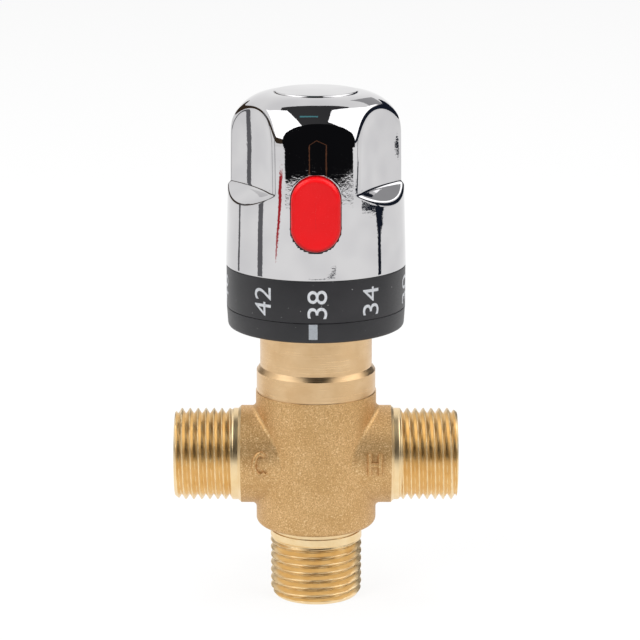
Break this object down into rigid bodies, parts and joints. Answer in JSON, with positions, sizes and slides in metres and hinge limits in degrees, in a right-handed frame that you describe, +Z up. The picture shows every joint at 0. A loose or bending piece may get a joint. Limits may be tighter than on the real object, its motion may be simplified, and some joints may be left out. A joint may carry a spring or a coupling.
{
  "type": "thermostatic mixing valve",
  "caption": "Brass mixing valve with threaded hot, cold and mixed ports, a numbered dial, a chromed grip knob and a red safety button.",
  "frame": {"origin": "middle of the outlet's end face, on the knob's axis", "axes": "+Z up along the knob's axis, +X out of the hot inlet, the safety button faces -Y"},
  "size_m": [0.064, 0.0418, 0.1163],
  "materials": {
    "body_brass": "sand-cast skin with turned neck and threads",
    "cartridge_brass": "turned",
    "knob_chrome": "polished plating",
    "cap_chrome": "polished plating",
    "ring_black": "satin moulded",
    "button_red": "glossy moulded",
    "inner_plastic": "moulded",
    "seal_rubber": "matte",
    "spring_steel": "drawn wire and stamped strip",
    "sensor_copper": "drawn copper"
  },
  "bodies": {
    "valve": {"valve_body": "body_brass", "cartridge_housing": "cartridge_brass", "hot_seat": "cartridge_brass", "spindle_gland": "cartridge_brass", "lower_cartridge_seal": "seal_rubber", "middle_cartridge_seal": "seal_rubber", "upper_cartridge_seal": "seal_rubber", "cold_check_housing": "inner_plastic", "hot_check_housing": "inner_plastic", "cold_check_seal": "seal_rubber", "hot_check_seal": "seal_rubber", "cold_check_spring": "spring_steel", "hot_check_spring": "spring_steel", "cold_strainer": "spring_steel", "hot_strainer": "spring_steel", "index_ring": "ring_black", "index_ring_clip": "spring_steel", "stop_ring": "inner_plastic", "stop_ring_clip": "spring_steel", "return_spring": "spring_steel"},
    "knob": {"dial_ring": "ring_black", "knob_shell": "knob_chrome", "knob_cap": "cap_chrome", "knob_carrier": "inner_plastic", "knob_screw": "spring_steel", "spindle": "cartridge_brass", "spindle_seal": "seal_rubber", "button_spring": "spring_steel"},
    "button": {"safety_button": "button_red", "button_latch": "inner_plastic"},
    "adjuster": {"adjusting_nut": "cartridge_brass", "nut_clip": "spring_steel", "overtravel_cup": "cartridge_brass", "overtravel_spring": "spring_steel", "sensor_piston": "spring_steel", "wax_sensor": "sensor_copper", "shuttle": "inner_plastic", "shuttle_seal": "seal_rubber"},
    "cold_poppet": {"cold_check_poppet": "inner_plastic"},
    "hot_poppet": {"hot_check_poppet": "inner_plastic"}
  },
  "joints": [
    {"name": "knob_turn", "type": "hinge", "parent": "valve", "child": "knob", "pos_m": [0, 0, 0.068], "axis": [0, 0, 1], "range_deg": [-144, 108]},
    {"name": "button_press", "type": "slide", "parent": "knob", "child": "button", "axis": [0, 1, 0], "range_m": [0, 0.002], "stiffness_N_per_m": 1000, "springref_m": -0.001, "deforming": ["button_spring"]},
    {"name": "adjuster_slide", "type": "slide", "parent": "valve", "child": "adjuster", "axis": [0, 0, 1], "range_m": [-0.00061, 0.00046], "deforming": ["return_spring"]},
    {"name": "cold_check_slide", "type": "slide", "parent": "valve", "child": "cold_poppet", "axis": [1, 0, 0], "range_m": [0, 0.0025], "stiffness_N_per_m": 100, "springref_m": -0.003, "deforming": ["cold_check_spring"]},
    {"name": "hot_check_slide", "type": "slide", "parent": "valve", "child": "hot_poppet", "axis": [-1, 0, 0], "range_m": [0, 0.0025], "stiffness_N_per_m": 100, "springref_m": -0.003, "deforming": ["hot_check_spring"]}
  ],
  "couplings": [
    {"joint": "adjuster_slide", "follows": "knob_turn", "m_per_rad": 0.00023873}
  ]
}
